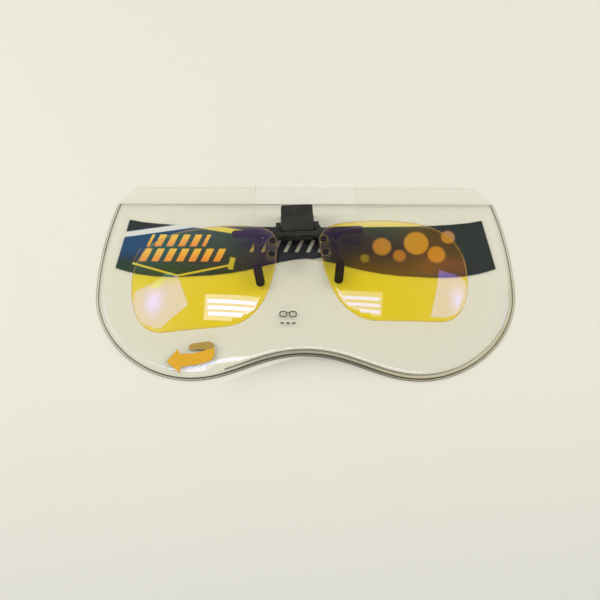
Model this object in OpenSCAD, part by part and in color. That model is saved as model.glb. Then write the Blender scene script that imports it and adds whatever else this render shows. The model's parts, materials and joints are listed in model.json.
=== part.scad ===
// Clip-on flip-up night driving glasses, lying face up on their clear pouch.
// X runs across the face, Y up the face and Z out of it. The origin is on the
// table, on the centre line of the glasses. All sizes are in millimetres.

/* [Lenses] */
// Width of one lens
lens_w = 58; // [52:1:62]
// Height of one lens
lens_h = 42; // [38:1:46]
// Gap between the two lenses at the nose
nose_gap = 17; // [16.6:0.2:19]
// Thickness of the lens sheet
lens_t = 1.2; // [1:0.1:2]
// Radius of the shallow ball that the back of each lens lies on
lens_back_r = 109; // [100:1:140]
// Distance of each lens crown from the centre line
crown_x = 27.4; // [24:0.2:32]

/* [Lens fixings] */
// Distance between the two screws of one lens
screw_pitch = 5.8; // [5:0.1:6.4]
// Diameter of the lens screws
screw_d = 1.4; // [1.2:0.1:1.6]
// Diameter of the bushed hole through the lens
lens_hole_d = 2; // [1.8:0.1:2.2]
// Diameter of the clear bush flanges and back washers
flange_d = 3.5; // [3:0.1:3.8]
// Thickness of the moulded lens pads
pad_t = 1.2; // [1:0.1:1.3]
// Half width of the lens pads
pad_r = 2.3; // [2.1:0.1:2.5]

/* [Thumb tabs] */
// Width of the front thumb tab
tab_w = 12.8; // [12:0.2:13]
// Height of the tab's top edge above the flip pin
tab_reach = 7.9; // [6:0.1:11]
// Height of the crease above the flip pin
crease_reach = 3.8; // [3:0.1:5]
// Thickness of the front tab
tab_t = 1.3; // [1:0.1:1.5]
// Angle at which the front tab flares towards the wearer's thumb
tab_flare = 18; // [0:1:25]
// Radius of the tab's corners
tab_corner = 1.7; // [0.8:0.1:2.5]

/* [Clip] */
// Diameter of the flip pin and the pivot pin
pin_d = 1.4; // [1:0.1:1.5]
// Radius of the pivot lugs
lug_r = 1.45; // [1.3:0.05:1.7]
// Thickness of the rear plate and the leg gussets
plate_t = 1.5; // [1.2:0.1:1.8]
// Thickness of the bridge plate
bridge_t = 1.25; // [1:0.05:1.6]
// Width of one yoke knuckle
knuckle_w = 1.9; // [1.5:0.1:2.1]
// Diameter of the rubber sleeves on the rear legs
leg_sleeve_d = 3.6; // [3.2:0.1:4]
// Diameter of the wire inside the leg sleeves
leg_wire_d = 1.9; // [1.5:0.1:2.2]
// Diameter of the rubber sleeves on the front arms
arm_sleeve_d = 3; // [2.4:0.1:3.2]
// Width and thickness of the front arms
arm_w = 1.6; // [1.2:0.1:1.7]
// Distance from the centre line to the tips of the front arms
arm_reach = 26.5; // [22:0.5:32]
// Distance from the centre line to the tips of the rear legs
leg_reach = 15.6; // [15:0.1:16.4]
// Length of the rubber sleeves on the rear legs
leg_sleeve_l = 9.2; // [7:0.1:12]
// Diameter of the torsion spring's wire
spring_wire_d = 0.5; // [0.4:0.05:0.5]
// Number of coils of the torsion spring
spring_coils = 5; // [3:1:5]

/* [Pouch] */
// Thickness of the clear film
film_t = 0.35; // [0.2:0.05:0.5]
// Half of the pouch's widest width
pouch_half_w = 83.8; // [80:0.5:90]
// Height of the mouth line above the origin
mouth_y = 41.6; // [39:0.1:44]
// Height of the header strip above the mouth line
header_h = 7.9; // [6:0.1:12]
// Width of the weld round the films
weld_w = 2.3; // [1.5:0.1:4]
// Rise of the front film above the table
pouch_rise = 2; // [1.8:0.1:4]
// Width of the closure flap
flap_w = 41.8; // [30:0.2:60]
// Reach of the folded flap above the header strip
flap_reach = 2.1; // [1.5:0.1:5]
// Length of flap tucked in below the mouth line
flap_tuck = 6; // [4:0.5:16]
// Thickness of the printed band
band_t = 0.25; // [0.15:0.05:0.3]
// Turn of the pouch under the glasses
pouch_turn = -2.5; // [-8:0.1:8]

/* [Hidden] */
$fn = 48;
BALL_FN = 240;
LEFT = -1;
RIGHT = 1;

// Clearances: a running pin, a moving face, and a piece that rests on another
run_fit = 0.05;
face_gap = 0.2;
rest_gap = 0.3;

// Levels of the clip, from the pouch up
arm_sink = 0.3;
flip_lift = 0.2;
crown_lift = 4.15;
leg_z = pouch_rise + rest_gap + leg_sleeve_d / 2;
pivot_z = leg_z + plate_t / 2 + face_gap + lug_r;
bridge_z = pivot_z + lug_r + face_gap;
bridge_top = bridge_z + bridge_t;
arm_z = bridge_top - arm_sink - arm_w / 2;
flip_z = bridge_top + flip_lift;
bar_z = bridge_top + rest_gap;
crown_z = bridge_top + crown_lift;

// Stations up the face, as drops from the flip pin
flip_y = 28;
pivot_drop = 2.2;
block_drop = 2.3;
block_rise = 1.9;
bridge_drop = 5;
arm_drop = 1.9;
bar_drop = 2.8;
lens_drop = 21.3;
crown_drop = 18;
pad_drop = 10.5;
pivot_y = flip_y - pivot_drop;
tab_low_y = flip_y - block_drop;
block_y = flip_y + block_rise;
bridge_low_y = flip_y - bridge_drop;
rear_low_y = pivot_y - lug_r;
crease_y = flip_y + crease_reach;
tab_top_y = flip_y + tab_reach;
arm_root_y = tab_low_y - arm_w / 2;
arm_y = flip_y - arm_drop;
bar_y = flip_y - bar_drop;
lens_mid_y = flip_y - lens_drop;
crown_y = flip_y - crown_drop;

// Stations across the clip
ear_w = 0.2;
lug_w = 1.5;
knuckle_wall = 1;
plate_half = tab_w / 2;
knuckle_in = plate_half + ear_w + run_fit;
knuckle_out = knuckle_in + knuckle_w;
knuckle_r = pin_d / 2 + knuckle_wall;
front_lug_in = plate_half - lug_w;
rear_lug_out = front_lug_in - face_gap;
rear_lug_in = rear_lug_out - lug_w;
leaf_half = 1.4;
leaf_t = 0.3;
spring_x = rear_lug_in - face_gap - spring_wire_d / 2;
spring_r = pin_d / 2 + rest_gap + spring_wire_d / 2;

// Lens pad: a point on the lens back, and the outward normal there
pad_inset = 2.1;
washer_t = 0.3;
washer_sink = 0.15;
bush_rise = 0.5;
nut_t = 1;
nut_r = 1.45;
screw_tail = 0.3;
screw_head_r = 1.1;
screw_head_t = 0.6;
pad_lean = 6;
ball = [crown_x, crown_y, crown_z - lens_back_r];
pad_x = nose_gap / 2 + pad_inset;
pad_y = flip_y - pad_drop;
pad_out = [pad_x - ball.x, pad_y - ball.y];
pad_up = sqrt(lens_back_r ^ 2 - pad_out * pad_out);
pad_seat = washer_t + washer_sink;
SCREWS = [for (s = [-1, 1]) s * screw_pitch / 2 * [-sin(pad_lean), cos(pad_lean)]];

// Right lens outline as five cubic curves, in half widths and half heights
LENS_CURVES = [
    [[-1, 0.59], [-1, 0.97], [-0.81, 0.98], [-0.46, 1]],
    [[-0.46, 1], [0.57, 1.02], [1.02, 0.83], [1, -0.13]],
    [[1, -0.13], [1, -0.61], [0.86, -1], [0.54, -1]],
    [[0.54, -1], [0.26, -1], [-0.02, -1], [-0.29, -0.98]],
    [[-0.29, -0.98], [-0.79, -0.94], [-1, -0.08], [-1, 0.59]]
];

// Right half of the pouch outline as cubic curves, from the nose up to the mouth
pouch_x = 2.1;
nose_drop = 23.6;
nose_pull = 18;
lobe_inset = 39;
lobe_drop = 33.8;
lobe_pull = 16.5;
side_pull = 21.5;
waist_y = 2;
waist_pull_low = 18;
waist_pull_high = 13;
mouth_inset = 6.6;
mouth_pull = [4.4, 13];
lobe_x = pouch_half_w - lobe_inset;
mouth_half = pouch_half_w - mouth_inset;
POUCH_CURVES = [
    [[0, -nose_drop], [nose_pull, -nose_drop], [lobe_x - lobe_pull, -lobe_drop], [lobe_x, -lobe_drop]],
    [
        [lobe_x, -lobe_drop], [lobe_x + side_pull, -lobe_drop],
        [pouch_half_w, waist_y - waist_pull_low], [pouch_half_w, waist_y]
    ],
    [
        [pouch_half_w, waist_y], [pouch_half_w, waist_y + waist_pull_high],
        [mouth_half + mouth_pull.x, mouth_y - mouth_pull.y], [mouth_half, mouth_y]
    ]
];
header_top = mouth_y + header_h;
header_half = mouth_half - header_h;
notch_r = 0.8;
flap_corner = 1.5;

// Right half of the printed band as cubic curves, in shares of its half width and its height
band_inset = 0.5;
band_top_gap = 7;
band_h = 25.2;
BAND_CURVES = [
    [[0, 0.33], [0.18, 0.3], [0.28, 0.05], [0.6, 0.02]],
    [[0.6, 0.02], [0.75, -0.01], [0.88, 0.02], [1, 0.16]],
    [[1, 0.16], [0.98, 0.44], [0.96, 0.71], [0.94, 1]],
    [[0.94, 1], [0.78, 0.87], [0.39, 0.89], [0, 0.87]]
];

// The front film's rise, as insets from the weld and shares of the rise
dome_inset = 18;
FILM_RISE = concat([[0, 0]], [
    for (r = [[0, 0], [0.14, 0.45], [0.33, 0.78], [0.61, 0.95], [1, 1]]) [weld_w + r[0] * dome_inset, r[1]]
]);

// Outline helpers
function bezier(c, t) =
    (1 - t) ^ 3 * c[0] + 3 * (1 - t) ^ 2 * t * c[1] + 3 * (1 - t) * t ^ 2 * c[2] + t ^ 3 * c[3];
function heading(c, t) =
    (1 - t) ^ 2 * (c[1] - c[0]) + 2 * (1 - t) * t * (c[2] - c[1]) + t ^ 2 * (c[3] - c[2]);
function flip_x(points) = [for (i = [len(points) - 1:-1:0]) [-points[i].x, points[i].y]];
function inset_point(c, t, d) = bezier(c, t) + d / norm(heading(c, t)) * [-heading(c, t).y, heading(c, t).x];
function curve_points(curves, steps, d = 0) =
    [for (c = curves) for (i = [0:steps - 1]) inset_point(c, i / steps, d)];
function curve_end(curves, d = 0) = inset_point(curves[len(curves) - 1], 1, d);
function lens_outline() = [for (p = curve_points(LENS_CURVES, 10)) [p.x * lens_w / 2, p.y * lens_h / 2]];

// Shows a right-hand piece on its own side
module on_side(side) {
    mirror([side == LEFT ? 1 : 0, 0, 0]) children();
}

module both_sides() {
    for (side = [LEFT, RIGHT]) on_side(side) children();
}

// Extrudes a profile drawn in Y and Z from one X to another
module across(x0, x1) {
    translate([x0, 0, 0]) rotate([90, 0, 90]) linear_extrude(x1 - x0) children();
}

// A bar along X through a point of the Y and Z profile
module rod_x(y, z, r, x0, x1) {
    translate([x0, y, z]) rotate([0, 90, 0]) cylinder(r = r, h = x1 - x0);
}

// A round bar from one point to another
module rod(a, b, d) {
    v = b - a;
    translate(a) rotate([0, acos(v.z / norm(v)), atan2(v.y, v.x)]) cylinder(d = d, h = norm(v));
}

// A plate's plan, symmetric about the centre line, with its own radius at each end
module rounded_plan(half, y0, y1, r0, r1) {
    for (p = [[y0 + r0, r0], [y1 - r1, r1]]) {
        for (s = [-1, 1]) translate([s * (half - p[1]), p[0]]) circle(p[1]);
    }
    translate([r1 - half, y0 + r0]) square([2 * (half - r1), y1 - y0 - r0]);
    translate([r0 - half, y0]) square([2 * (half - r0), y1 - y0 - r1]);
    translate([-half, y0 + r0]) square([2 * half, y1 - y0 - r0 - r1]);
}

// Stands on the back of the right lens at its pad, with Z along the lens's own normal
module on_pad() {
    translate([pad_x, pad_y, ball.z + pad_up])
        rotate([-asin(pad_out.y / lens_back_r), atan2(pad_out.x, pad_up), 0]) children();
}

module pad_ball(r) {
    translate([0, 0, -lens_back_r]) sphere(r, $fn = BALL_FN);
}

// Lays a piece on the table with the pouch's own turn
module on_pouch() {
    rotate([0, 0, pouch_turn]) translate([pouch_x, 0, 0]) children();
}

// POUCH

module pouch_back_sheet() {
    right = concat(curve_points(POUCH_CURVES, 12), [curve_end(POUCH_CURVES), [header_half, header_top]]);
    color([0.9, 0.92, 0.9, 0.4]) on_pouch() linear_extrude(film_t) difference() {
        polygon(concat(right, flip_x([for (i = [1:len(right) - 1]) right[i]])));
        for (s = [-1, 1]) translate([s * (flap_w / 2 + notch_r), header_top]) circle(notch_r);
    }
}

function film_ring(d) =
    let (right = concat(curve_points(POUCH_CURVES, 12, d), [curve_end(POUCH_CURVES, d) + [0, 2 * header_h]]))
    concat(right, flip_x([for (i = [1:len(right) - 1]) right[i]]));

// Triangles between ring a and ring b of a loft whose rings have n points
function ring_wall(a, b, n) = [
    for (i = [0:n - 1])
        let (j = (i + 1) % n)
        each [[a * n + i, a * n + j, b * n + j], [a * n + i, b * n + j, b * n + i]]
];

// One closed shell: the outer skin's rings, then the inner skin's, one film lower
module domed_film() {
    rise = pouch_rise - 2 * film_t;
    levels = [for (s = [1, 0]) for (f = FILM_RISE) [f[0], film_t * (1 + s) + rise * f[1]]];
    rings = [for (l = levels) [for (p = film_ring(l[0])) [p.x, p.y, l[1]]]];
    n = len(rings[0]);
    m = len(FILM_RISE);
    points = [for (r = rings) each r];
    faces = concat(
        [for (k = [0:m - 2]) each ring_wall(k + 1, k, n)],
        [for (k = [m:2 * m - 2]) each ring_wall(k, k + 1, n)],
        ring_wall(0, m, n),
        [[for (i = [n - 1:-1:0]) (m - 1) * n + i]],
        [[for (i = [0:n - 1]) (2 * m - 1) * n + i]]
    );
    polyhedron(points, faces, convexity = 6);
}

module pouch_front_sheet() {
    color([0.92, 0.94, 0.92, 0.4]) on_pouch() difference() {
        domed_film();
        translate([-pouch_half_w, mouth_y, -1]) cube([2 * pouch_half_w, 3 * header_h, 2 * pouch_rise + 2]);
    }
}

module closure_flap() {
    fold_r = film_t + face_gap;
    fold_y = header_top + flap_reach - fold_r;
    tuck_y = mouth_y - flap_tuck;
    color([0.9, 0.92, 0.9, 0.4]) on_pouch() intersection() {
        across(-flap_w / 2, flap_w / 2) {
            translate([header_top, 0]) square([fold_y - header_top, film_t]);
            translate([tuck_y, 2 * fold_r - film_t]) square([fold_y - tuck_y, film_t]);
            difference() {
                translate([fold_y, fold_r]) circle(fold_r);
                translate([fold_y, fold_r]) circle(fold_r - film_t);
                translate([fold_y - 2 * fold_r, -fold_r]) square([2 * fold_r, 4 * fold_r]);
            }
        }
        linear_extrude(3 * fold_r)
            rounded_plan(flap_w / 2, tuck_y, fold_y + fold_r, flap_corner, flap_corner);
    }
}

module insert_band() {
    half = mouth_half - band_inset;
    low = mouth_y - band_top_gap - band_h;
    right = [for (c = BAND_CURVES) [for (p = c) [half * p.x, low + band_h * p.y]]];
    points = concat(curve_points(right, 8), [curve_end(right)]);
    color([0.1, 0.12, 0.25]) on_pouch() translate([0, 0, film_t + run_fit]) linear_extrude(band_t)
        polygon(concat(points, flip_x([for (i = [1:len(points) - 2]) points[i]])));
}

// REAR HALF OF THE CLIP

module rear_clamp() {
    low = leg_z - plate_t / 2;
    high = leg_z + plate_t / 2;
    bend_y = flip_y + rear_bend;
    end_y = tab_top_y + rear_reach;
    drop = low - pouch_rise - face_gap;
    color([0.16, 0.15, 0.15]) difference() {
        union() {
            intersection() {
                across(-plate_half, plate_half) polygon([
                    [rear_low_y, low], [bend_y, low], [end_y, low - drop],
                    [end_y, high - drop], [bend_y, high], [rear_low_y, high]
                ]);
                linear_extrude(bridge_z)
                    rounded_plan(plate_half, rear_low_y, end_y, plate_corner, tab_corner);
            }
            both_sides() across(rear_lug_in, rear_lug_out) {
                translate([pivot_y, pivot_z]) circle(lug_r);
                translate([pivot_y - lug_r, leg_z]) square([2 * lug_r, pivot_z - leg_z]);
            }
        }
        rod_x(pivot_y, pivot_z, pin_d / 2, -plate_half, plate_half);
    }
}

rear_bend = 3;
rear_reach = 0.9;
plate_corner = 0.8;
leg_drop = 23.15;
leg_lean = 0.155;
leg_embed = 1.4;
leg_tip = [leg_reach, flip_y - leg_drop + leg_sleeve_d / 2, leg_z];
leg_dir = [leg_lean, 1, 0] / norm([leg_lean, 1, 0]);
sleeve_start = leg_tip + leg_dir * (leg_sleeve_l - leg_sleeve_d / 2);

// The leg's root bar, strut and gusset. The gusset runs down from the root to the strut beside a
// three-cornered window.
root_w = 1.4;
root_drop = 0.4;
gusset_w = 3.6;
gusset_h = 5.2;
window_w = 2.6;
window_h = 3.8;
strut_wall = 0.1;

module rear_leg(side) {
    strut_in = sleeve_start.x - leg_wire_d / 2;
    strut_out = sleeve_start.x + leg_wire_d / 2 + strut_wall;
    foot_y = sleeve_start.y + rest_gap + strut_wall;
    top_y = flip_y - root_drop;
    root_y = top_y - root_w;
    color([0.16, 0.15, 0.15]) on_side(side) {
        translate([0, 0, leg_z - plate_t / 2]) linear_extrude(plate_t) difference() {
            polygon([
                [plate_half, top_y], [strut_out - plate_corner, top_y], [strut_out, top_y - plate_corner],
                [strut_out, foot_y], [strut_in, foot_y], [strut_in, root_y - gusset_h],
                [strut_in - gusset_w, root_y - plate_corner], [plate_half, rear_low_y + plate_corner]
            ]);
            polygon([
                [strut_in - window_w, root_y], [strut_in + strut_wall, root_y],
                [strut_in + strut_wall, root_y - window_h]
            ]);
        }
        rod(leg_tip, sleeve_start + leg_dir * leg_embed, leg_wire_d);
        translate(leg_tip) sphere(d = leg_wire_d);
    }
}

module leg_sleeve(side) {
    color([0.1, 0.1, 0.1]) on_side(side) difference() {
        union() {
            rod(leg_tip, sleeve_start, leg_sleeve_d);
            translate(leg_tip) sphere(d = leg_sleeve_d);
        }
        rod(leg_tip, sleeve_start + leg_dir * leg_embed, leg_wire_d);
        translate(leg_tip) sphere(d = leg_wire_d);
    }
}

pin_head_t = 0.3;
pin_head_w = 0.15;

module pivot_pin() {
    end_x = plate_half + run_fit;
    color([0.6, 0.6, 0.6]) {
        rod_x(pivot_y, pivot_z, pin_d / 2, -end_x, end_x);
        both_sides() rod_x(pivot_y, pivot_z, pin_d / 2 + pin_head_w, end_x, end_x + pin_head_t);
    }
}

// The torsion spring's centre line: in along the upper leg, round the coils, out along the lower leg
leg_angle = 100;
coil_turn = 360 * spring_coils + 270 - leg_angle;
coil_steps = 8 * spring_coils + 4;
function coil_point(a, x) = [x, pivot_y + spring_r * cos(a), pivot_z + spring_r * sin(a)];
spring_leg_up = 1.7;
spring_bend = [1.6, 0.7];
spring_rest = 0.08;
crease_lift = 2;
tab_under_y = crease_y + spring_leg_up;
tab_under_z = flip_z + crease_lift - tab_t + spring_leg_up * tan(tab_flare) - spring_wire_d / 2 - face_gap;
SPRING_PATH = concat(
    [
        [spring_x, tab_under_y, tab_under_z],
        [spring_x, flip_y + spring_bend.x, pivot_z + spring_r + spring_bend.y]
    ],
    [
        for (i = [0:coil_steps])
            coil_point(leg_angle + coil_turn * i / coil_steps, spring_x * (1 - 2 * i / coil_steps))
    ],
    [[-spring_x, flip_y + spring_bend.x, leg_z + plate_t / 2 + spring_wire_d / 2 + spring_rest]]
);
echo(least_gap_between_spring_coils = min([
    for (i = [0:len(SPRING_PATH) - 7], j = [i + 6:len(SPRING_PATH) - 1]) norm(SPRING_PATH[i] - SPRING_PATH[j])
]) - spring_wire_d);

function unit(v) = v / norm(v);
function path_heading(p, i) =
    i == 0 ? unit(p[1] - p[0]) :
    i == len(p) - 1 ? unit(p[i] - p[i - 1]) : unit(unit(p[i] - p[i - 1]) + unit(p[i + 1] - p[i]));

// A round tube along a path, as one closed mesh of rings
module tube(path, d, sides) {
    n = len(path);
    points = [
        for (i = [0:n - 1])
            let (h = path_heading(path, i), u = unit(cross(h, [1, 0.02, 0.01])), v = cross(h, u))
            for (k = [0:sides - 1]) path[i] + d / 2 * (cos(360 * k / sides) * u + sin(360 * k / sides) * v)
    ];
    faces = concat(
        [[for (k = [sides - 1:-1:0]) k]],
        [for (i = [0:n - 2]) each ring_wall(i, i + 1, sides)],
        [[for (k = [0:sides - 1]) (n - 1) * sides + k]]
    );
    polyhedron(points, faces, convexity = 8);
}

module clamp_spring() {
    color([0.7, 0.7, 0.7]) tube(SPRING_PATH, spring_wire_d, 6);
}

// FRONT HALF OF THE CLIP

// Side view of the bridge: plate, hinge block and thumb tab
block_cap = 1.85;
block_front = 0.9;
chamfer = 0.4;

module bridge_profile() {
    crease_z = flip_z + crease_lift;
    top_z = crease_z + (tab_top_y - crease_y) * tan(tab_flare);
    polygon([
        [bridge_low_y, bridge_z], [block_y, bridge_z], [block_y, crease_z - tab_t - chamfer / 4],
        [crease_y + chamfer, crease_z - tab_t], [tab_top_y + chamfer, top_z - tab_t], [tab_top_y, top_z],
        [crease_y, crease_z], [flip_y - pin_d / 2, flip_z + block_cap], [tab_low_y, flip_z + block_front],
        [tab_low_y, bridge_top], [bridge_low_y, bridge_top]
    ]);
}

module front_bridge() {
    slot = spring_wire_d + 2 * face_gap;
    leaf_r = pin_d / 2 + run_fit + leaf_t;
    leaf_gap = face_gap / 2;
    high = 2 * crown_z;
    color([0.16, 0.15, 0.15]) difference() {
        union() {
            intersection() {
                across(-plate_half, plate_half) bridge_profile();
                linear_extrude(high)
                    rounded_plan(plate_half, bridge_low_y, tab_top_y + chamfer, plate_corner, tab_corner);
            }
            intersection() {
                across(-plate_half - ear_w, plate_half + ear_w) bridge_profile();
                translate([-tab_w, tab_low_y, 0]) cube([2 * tab_w, crease_y - tab_low_y, high]);
            }
            both_sides() across(front_lug_in, plate_half) {
                translate([pivot_y, pivot_z]) circle(lug_r);
                translate([pivot_y - lug_r, pivot_z]) square([2 * lug_r, bridge_z + bridge_t / 2 - pivot_z]);
            }
        }
        rod_x(pivot_y, pivot_z, pin_d / 2 + run_fit, -tab_w, tab_w);
        rod_x(flip_y, flip_z, pin_d / 2 + run_fit, -tab_w, tab_w);
        rod_x(flip_y, flip_z, leaf_r + leaf_gap, -leaf_half - leaf_gap, leaf_half + leaf_gap);
        translate([-leaf_half - leaf_gap, flip_y - leaf_r - leaf_gap, bridge_z - 1])
            cube([2 * (leaf_half + leaf_gap), 2 * (leaf_r + leaf_gap), flip_z - bridge_z + 1]);
        translate([-leaf_half - leaf_gap, flip_y, flip_z + leaf_r - leaf_t])
            cube([2 * (leaf_half + leaf_gap), block_rise + 1, leaf_t]);
        translate([spring_x - slot / 2, pivot_y, bridge_z - 1])
            cube([slot, block_y - pivot_y + 1, 1 + slot]);
    }
}

// Centre line of a front arm: out from the bridge, a dog-leg up past the knuckle, then level to its tip
arm_pass = 0.9;
arm_run = 3.6;
arm_end = 0.3;
arm_bend = [knuckle_out + arm_pass, arm_root_y];
arm_level = [arm_bend.x + arm_run, arm_y];
arm_tip = [arm_reach - arm_sleeve_d / 2, arm_y];
ARM_PATH = [[plate_half, arm_root_y], arm_bend, arm_level, arm_tip + [arm_end, 0]];

// The points beside a path of straight bars, mitred at its bends
function beside(path, d) = [
    for (i = [0:len(path) - 1])
        let (a = unit(path[max(i, 1)] - path[max(i, 1) - 1]))
        let (b = unit(path[min(i + 1, len(path) - 1)] - path[min(i, len(path) - 2)]))
        let (out = unit([-a.y - b.y, a.x + b.x]))
        path[i] + out * d / (out * [-a.y, a.x])
];

module arm_bar() {
    low = beside(ARM_PATH, -arm_w / 2);
    high = beside(ARM_PATH, arm_w / 2);
    translate([0, 0, arm_z - arm_w / 2]) linear_extrude(arm_w)
        polygon(concat(low, [for (i = [len(high) - 1:-1:0]) high[i]]));
}

module front_arm(side) {
    color([0.16, 0.15, 0.15]) on_side(side) arm_bar();
}

module arm_sleeve(side) {
    x0 = arm_level.x + arm_pass;
    color([0.1, 0.1, 0.1]) on_side(side) difference() {
        union() {
            rod_x(arm_y, arm_z, arm_sleeve_d / 2, x0, arm_tip.x);
            translate([arm_tip.x, arm_y, arm_z]) sphere(d = arm_sleeve_d);
        }
        arm_bar();
    }
}

module friction_leaf() {
    inner = pin_d / 2 + run_fit;
    color([0.7, 0.7, 0.7]) across(-leaf_half, leaf_half) {
        difference() {
            translate([flip_y, flip_z]) circle(inner + leaf_t);
            translate([flip_y, flip_z]) circle(inner);
            translate([flip_y - leaf_t, flip_z - 2 * inner]) square([2 * leaf_t, 2 * inner]);
        }
        difference() {
            translate([flip_y, flip_z + inner]) square([block_rise, leaf_t]);
            translate([flip_y, flip_z]) circle(inner + leaf_t / 2);
        }
    }
}

// LENS CARRIER

module pad_outline() {
    lean = SCREWS[1];
    knuckle_y = flip_y - pad_y;
    for (p = SCREWS) translate(p) circle(pad_r);
    rotate([0, 0, pad_lean]) square([2 * pad_r, screw_pitch], center = true);
    polygon([
        [lean.x - pad_r, lean.y], [lean.x + pad_r, lean.y],
        [knuckle_out - pad_x, knuckle_y], [knuckle_in - pad_x, knuckle_y]
    ]);
}

bar_w = 1.8;
bar_t = 1.3;
bar_inset = 0.4;
boss_w = 2;
boss_rise = 0.5;

module lens_yoke() {
    half = nose_gap / 2 - bar_inset;
    color([0.16, 0.15, 0.15]) {
        both_sides() difference() {
            union() {
                on_pad() translate([0, 0, -pad_seat - pad_t]) linear_extrude(pad_t) pad_outline();
                rod_x(flip_y, flip_z, knuckle_r, knuckle_in, knuckle_out);
            }
            rod_x(flip_y, flip_z, pin_d / 2, 0, tab_w);
            on_pad() for (p = SCREWS) translate([p.x, p.y, -4 * pad_t]) cylinder(d = screw_d, h = 4 * pad_t);
            translate([0, bar_y, 0]) cube([knuckle_in, pad_drop, 2 * crown_z]);
        }
        translate([-half, bar_y - bar_w, bar_z]) cube([2 * half, bar_w, bar_t]);
        translate([-boss_w / 2, bar_y - bar_w - boss_rise, bar_z])
            cube([boss_w, bar_w + boss_rise, bar_t + boss_rise]);
    }
}

module flip_pin() {
    color([0.6, 0.6, 0.6]) rod_x(flip_y, flip_z, pin_d / 2, -knuckle_out, knuckle_out);
}

module lens(side) {
    depth = 2 * crown_z;
    color([0.93, 0.8, 0.25, 0.6]) on_side(side) difference() {
        intersection() {
            translate([(nose_gap + lens_w) / 2, lens_mid_y, crown_z - depth])
                linear_extrude(2 * depth) polygon(lens_outline());
            translate(ball) sphere(lens_back_r + lens_t, $fn = BALL_FN);
        }
        translate(ball) sphere(lens_back_r, $fn = BALL_FN);
        on_pad() for (p = SCREWS) translate([p.x, p.y, -lens_t]) cylinder(d = lens_hole_d, h = 4 * lens_t);
    }
}

module on_screws() {
    both_sides() on_pad() for (p = SCREWS) translate([p.x, p.y, 0]) children();
}

slot_l = 1.6;
slot_w = 0.3;
slot_depth = 0.3;

module lens_screws() {
    seat_z = lens_t + bush_rise;
    top_z = seat_z + screw_head_t;
    tail_z = -pad_seat - pad_t - nut_t - screw_tail;
    color([0.75, 0.75, 0.75]) on_screws() difference() {
        rotate_extrude() polygon([
            [0, tail_z], [screw_d / 2, tail_z], [screw_d / 2, seat_z], [screw_head_r, seat_z],
            [screw_head_r, seat_z + screw_head_t / 2], [screw_head_r * 0.8, top_z - screw_head_t / 6],
            [screw_head_r * 0.5, top_z], [0, top_z]
        ]);
        for (a = [0, 90]) rotate([0, 0, a])
            translate([-slot_l / 2, -slot_w / 2, top_z - slot_depth]) cube([slot_l, slot_w, 2 * slot_depth]);
    }
}

// Clear top-hat bushes: the flange lies on the lens front, the sleeve lines its hole
module lens_bushes() {
    both_sides() color([0.9, 0.9, 0.85, 0.5]) on_pad() for (p = SCREWS) difference() {
        union() {
            difference() {
                translate([p.x, p.y, 0]) cylinder(d = flange_d, h = lens_t + bush_rise);
                pad_ball(lens_back_r + lens_t);
            }
            difference() {
                translate([p.x, p.y, -lens_t]) cylinder(d = lens_hole_d, h = 2 * lens_t + bush_rise / 2);
                pad_ball(lens_back_r);
            }
        }
        translate([p.x, p.y, -2 * lens_t]) cylinder(d = screw_d, h = 6 * lens_t);
    }
}

module back_washers() {
    color([0.9, 0.9, 0.85, 0.5]) on_screws() translate([0, 0, -pad_seat]) difference() {
        cylinder(d = flange_d, h = washer_t);
        translate([0, 0, -washer_t]) cylinder(d = screw_d, h = 3 * washer_t);
    }
}

module lens_nuts() {
    color([0.75, 0.75, 0.75]) on_screws() translate([0, 0, -pad_seat - pad_t - nut_t]) difference() {
        cylinder(r = nut_r, h = nut_t, $fn = 6);
        translate([0, 0, -nut_t]) cylinder(d = screw_d, h = 3 * nut_t);
    }
}

pouch_back_sheet();
pouch_front_sheet();
closure_flap();
insert_band();
rear_clamp();
rear_leg(LEFT);  // rear_leg_left
rear_leg(RIGHT);  // rear_leg_right
leg_sleeve(LEFT);  // leg_sleeve_left
leg_sleeve(RIGHT);  // leg_sleeve_right
pivot_pin();
clamp_spring();
front_bridge();
front_arm(LEFT);  // front_arm_left
front_arm(RIGHT);  // front_arm_right
arm_sleeve(LEFT);  // arm_sleeve_left
arm_sleeve(RIGHT);  // arm_sleeve_right
friction_leaf();
lens_yoke();
flip_pin();
lens(LEFT);  // lens_left
lens(RIGHT);  // lens_right
lens_screws();
lens_bushes();
back_washers();
lens_nuts();
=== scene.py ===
import math

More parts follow.
